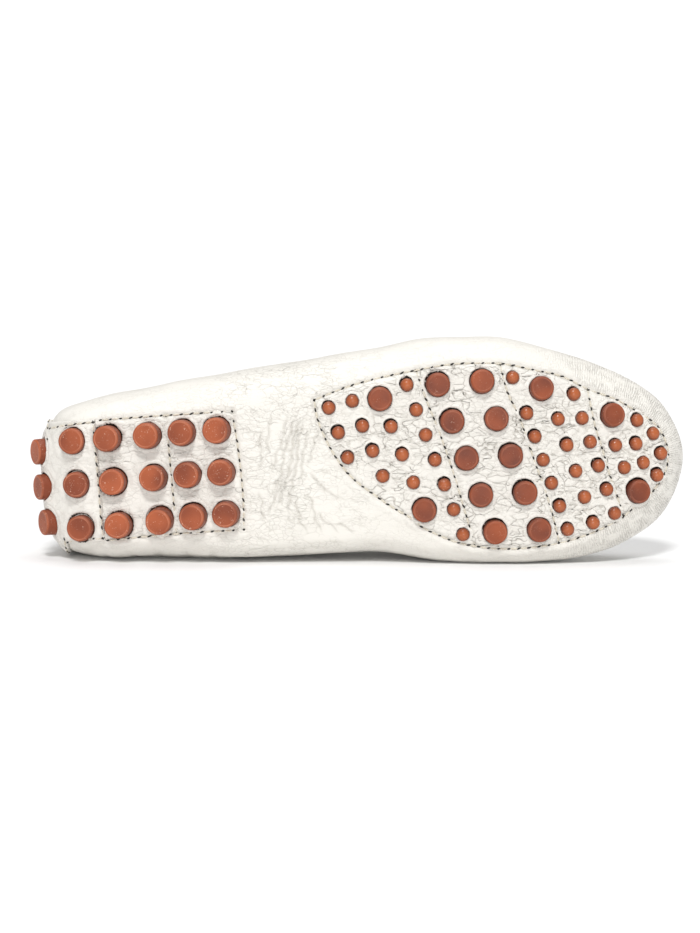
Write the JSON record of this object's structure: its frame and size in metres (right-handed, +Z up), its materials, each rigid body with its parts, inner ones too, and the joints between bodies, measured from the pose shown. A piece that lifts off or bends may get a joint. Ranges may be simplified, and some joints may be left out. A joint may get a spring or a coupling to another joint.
{
  "type": "driving moccasin",
  "caption": "Right driving moccasin lying on its inner side: pebbled hide body wrapped under the foot, apron, bound collar, and flat and domed rubber studs through the sole.",
  "frame": {"origin": "on the floor under the middle of the lying shoe's box", "axes": "+X from heel to toe, -Y where the studded sole faces, +Z up, with the outer side of the shoe on top"},
  "size_m": [0.2616, 0.076, 0.0895],
  "materials": {
    "leather_hide": "warm off-white pebbled leather, soft sheen",
    "leather_apron": "warm off-white pebbled leather, soft sheen",
    "leather_tab": "smooth off-white leather with fine creases",
    "leather_binding": "smooth thin off-white binding leather",
    "leather_insole": "smooth natural sock leather",
    "rubber_forefoot": "terracotta moulded rubber, worn satin",
    "rubber_heel": "terracotta moulded rubber, worn satin"
  },
  "bodies": {
    "root": {"upper": "leather_hide", "apron": "leather_apron", "heel_tab": "leather_tab", "collar_binding": "leather_binding", "insole": "leather_insole", "forefoot_studs": "rubber_forefoot", "heel_studs": "rubber_heel"}
  },
  "joints": []
}
